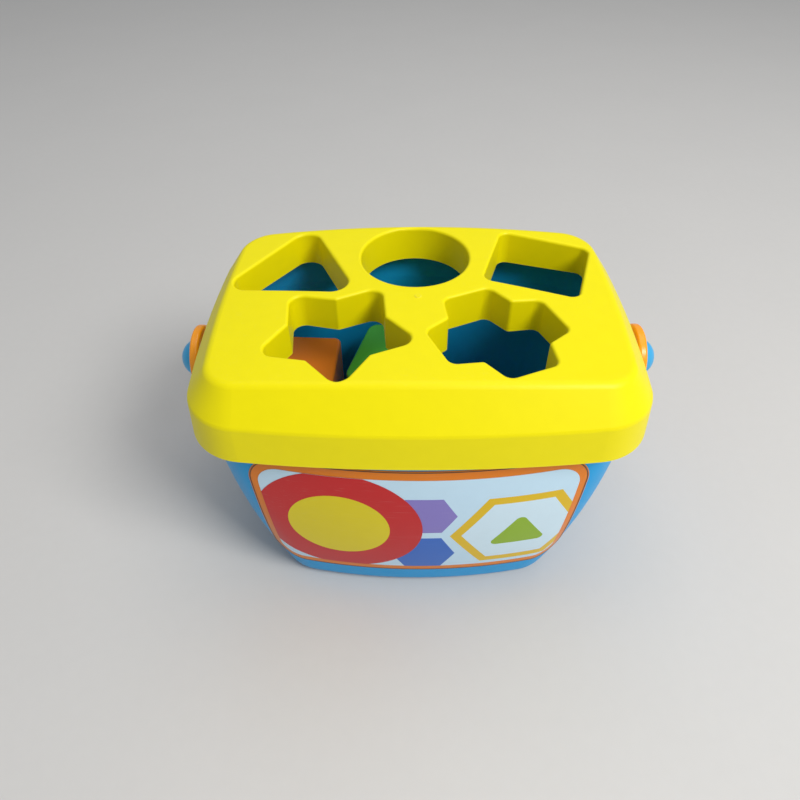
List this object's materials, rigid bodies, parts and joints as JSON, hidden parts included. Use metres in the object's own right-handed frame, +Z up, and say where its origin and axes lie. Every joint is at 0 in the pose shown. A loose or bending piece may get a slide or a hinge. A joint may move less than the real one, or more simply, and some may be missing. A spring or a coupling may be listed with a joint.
{
  "type": "shape sorter",
  "caption": "Bucket shape sorter with a lift-off lid pierced by sorting holes, a swinging bail handle and loose shaped blocks inside.",
  "frame": {"origin": "bottom centre of the bucket, in the plane of the surface it stands on", "axes": "+X to the right seen from the labelled front, +Y to the back, +Z up; the label faces -Y"},
  "size_m": [0.216, 0.1534, 0.1322],
  "materials": {
    "bucket_blue": "satin injection-moulded polypropylene, sky blue",
    "lid_yellow": "satin injection-moulded polypropylene, bright yellow",
    "handle_orange": "satin injection-moulded polypropylene, orange",
    "pin_blue": "satin moulded plastic, sky blue",
    "label_print": "printed self-adhesive film with a soft gloss",
    "block_orange": "satin moulded plastic, orange",
    "block_green": "satin moulded plastic, green",
    "block_red": "satin moulded plastic, red",
    "block_blue": "satin moulded plastic, royal blue",
    "block_purple": "satin moulded plastic, purple"
  },
  "bodies": {
    "root": {"bucket": "bucket_blue", "pivot_pin_left": "pin_blue", "pivot_pin_right": "pin_blue", "front_label": "label_print"},
    "lid": {"lid": "lid_yellow"},
    "handle": {"handle": "handle_orange"},
    "square_block_1": {"square_block_1_shell": "block_orange", "square_block_1_cap": "block_orange"},
    "triangle_block_1": {"triangle_block_1_shell": "block_green", "triangle_block_1_cap": "block_green"},
    "circle_block_1": {"circle_block_1_shell": "block_red", "circle_block_1_cap": "block_red"},
    "circle_block_2": {"circle_block_2_shell": "block_red", "circle_block_2_cap": "block_red"},
    "star_block_1": {"star_block_1_shell": "block_blue", "star_block_1_cap": "block_blue"},
    "star_block_2": {"star_block_2_shell": "block_blue", "star_block_2_cap": "block_blue"},
    "cross_block_1": {"cross_block_1_shell": "block_purple", "cross_block_1_cap": "block_purple"},
    "cross_block_2": {"cross_block_2_shell": "block_purple", "cross_block_2_cap": "block_purple"},
    "square_block_2": {"square_block_2_shell": "block_orange", "square_block_2_cap": "block_orange"},
    "triangle_block_2": {"triangle_block_2_shell": "block_green", "triangle_block_2_cap": "block_green"}
  },
  "joints": [
    {"name": "lid_lift", "type": "slide", "parent": "root", "child": "lid", "axis": [0, 0, 1], "range_m": [0, 0.16]},
    {"name": "handle_swing", "type": "hinge", "parent": "root", "child": "handle", "pos_m": [0, 0.004, 0.094], "axis": [1, 0, 0], "range_deg": [0, 232]},
    {"name": "square_block_1_lift", "type": "slide", "parent": "root", "child": "square_block_1", "axis": [0, 0, 1], "range_m": [0, 0.03]},
    {"name": "triangle_block_1_lift", "type": "slide", "parent": "root", "child": "triangle_block_1", "axis": [0, 0, 1], "range_m": [0, 0.03]},
    {"name": "circle_block_1_roll", "type": "hinge", "parent": "root", "child": "circle_block_1", "pos_m": [-0.0445, 0.025, 0.0248], "axis": [1, 0, 0], "continuous": true},
    {"name": "circle_block_2_roll", "type": "hinge", "parent": "root", "child": "circle_block_2", "pos_m": [-0.0115, 0.025, 0.0248], "axis": [1, 0, 0], "continuous": true},
    {"name": "star_block_1_lift", "type": "slide", "parent": "root", "child": "star_block_1", "axis": [0, 0, 1], "range_m": [0, 0.02]},
    {"name": "star_block_2_lift", "type": "slide", "parent": "star_block_1", "child": "star_block_2", "axis": [0, 0, 1], "range_m": [0, 0.02]},
    {"name": "cross_block_1_lift", "type": "slide", "parent": "root", "child": "cross_block_1", "axis": [0, 0, 1], "range_m": [0, 0.02]},
    {"name": "square_block_2_lift", "type": "slide", "parent": "cross_block_1", "child": "square_block_2", "axis": [0, 0, 1], "range_m": [0, 0.02]},
    {"name": "triangle_block_2_lift", "type": "slide", "parent": "cross_block_1", "child": "triangle_block_2", "axis": [0, 0, 1], "range_m": [0, 0.02]},
    {"name": "cross_block_2_lift", "type": "slide", "parent": "root", "child": "cross_block_2", "axis": [0, 0, 1], "range_m": [0, 0.06]}
  ]
}
